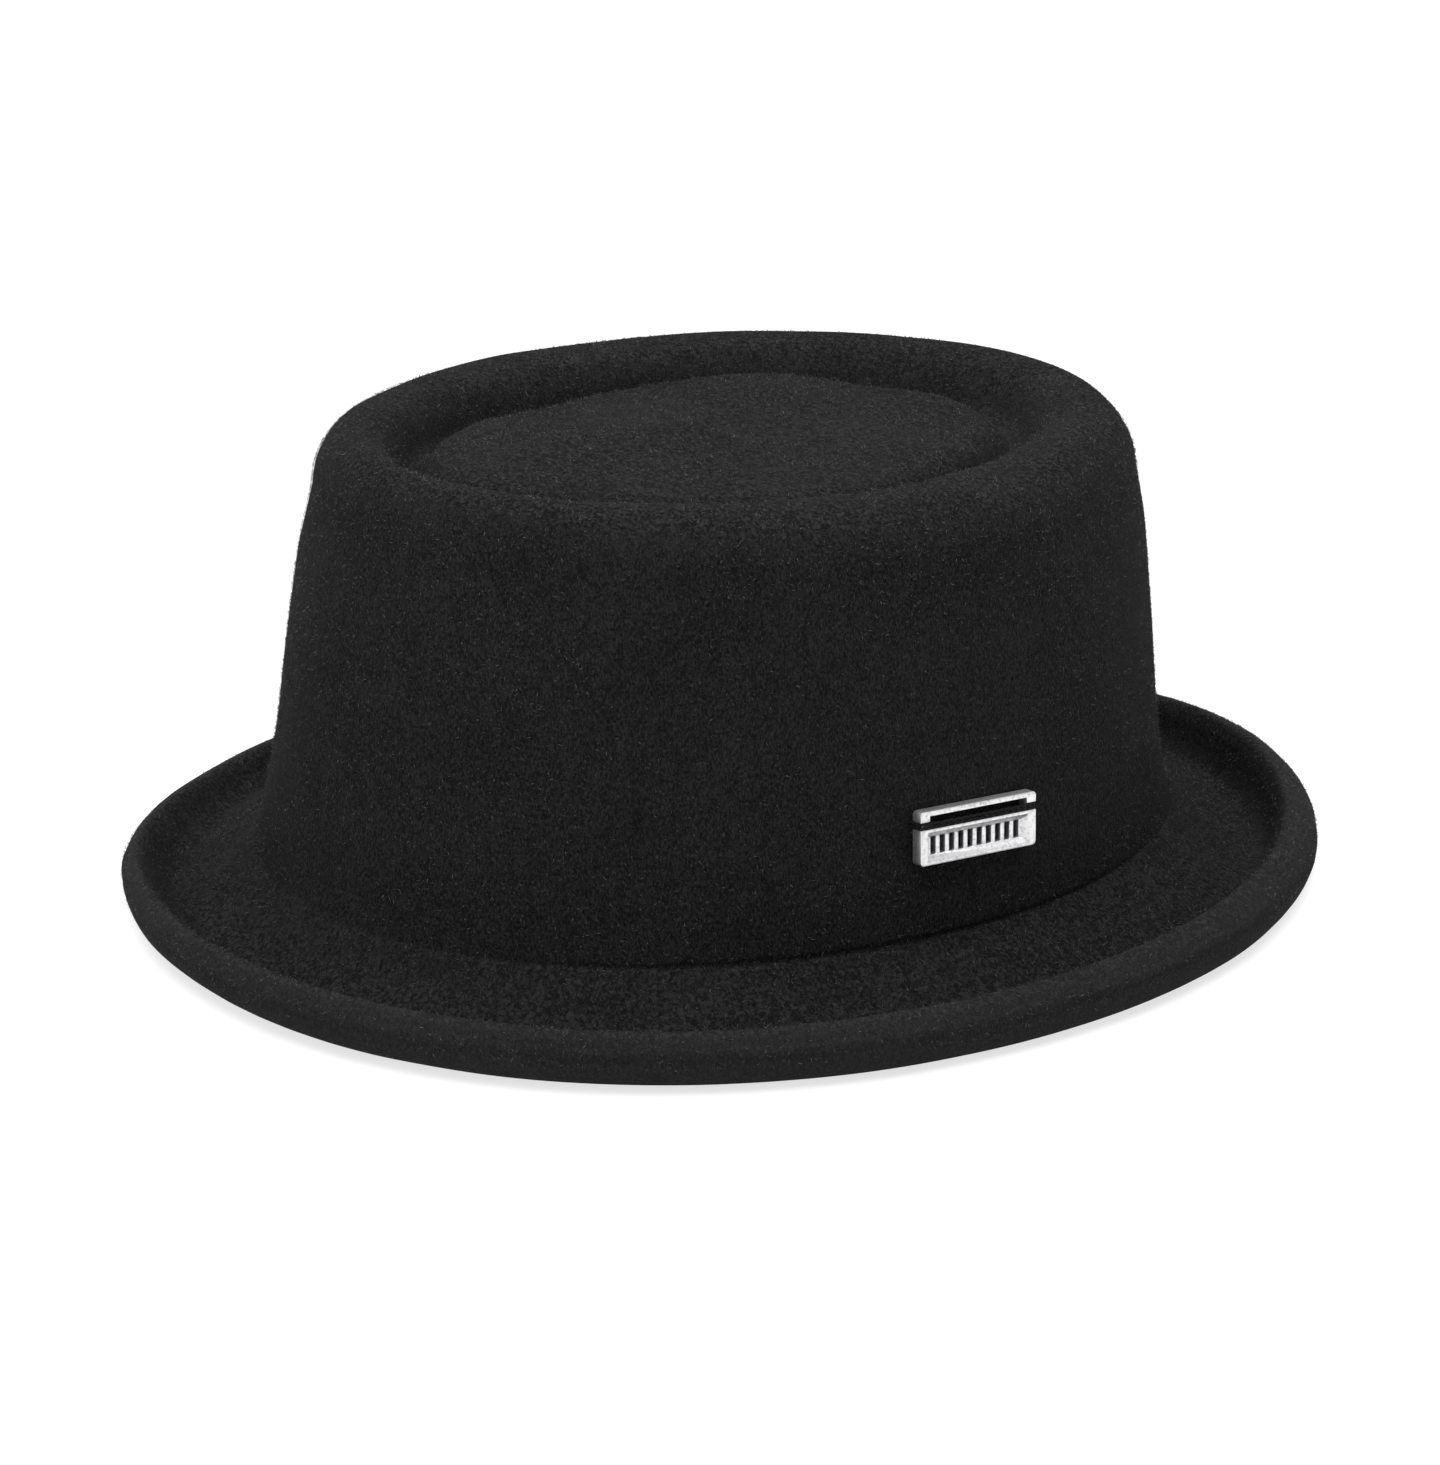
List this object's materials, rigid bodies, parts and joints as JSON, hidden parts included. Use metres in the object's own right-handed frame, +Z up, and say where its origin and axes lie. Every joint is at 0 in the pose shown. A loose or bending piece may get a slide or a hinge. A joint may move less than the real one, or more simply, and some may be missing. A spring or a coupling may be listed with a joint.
{
  "type": "porkpie hat",
  "caption": "Black wool felt porkpie hat with an upturned brim, a pressed oval crown and a small metal side badge.",
  "frame": {"origin": "on the floor under the middle of the brim's length and width", "axes": "-Y points to the front of the hat, +X to the wearer's left, +Z up"},
  "size_m": [0.2454, 0.275, 0.1081],
  "materials": {
    "felt": "matte black wool felt",
    "badge_metal": "bright plated casting",
    "cord": "black twisted cord"
  },
  "bodies": {
    "root": {"felt_body": "felt", "badge": "badge_metal", "badge_cord": "cord"}
  },
  "joints": []
}
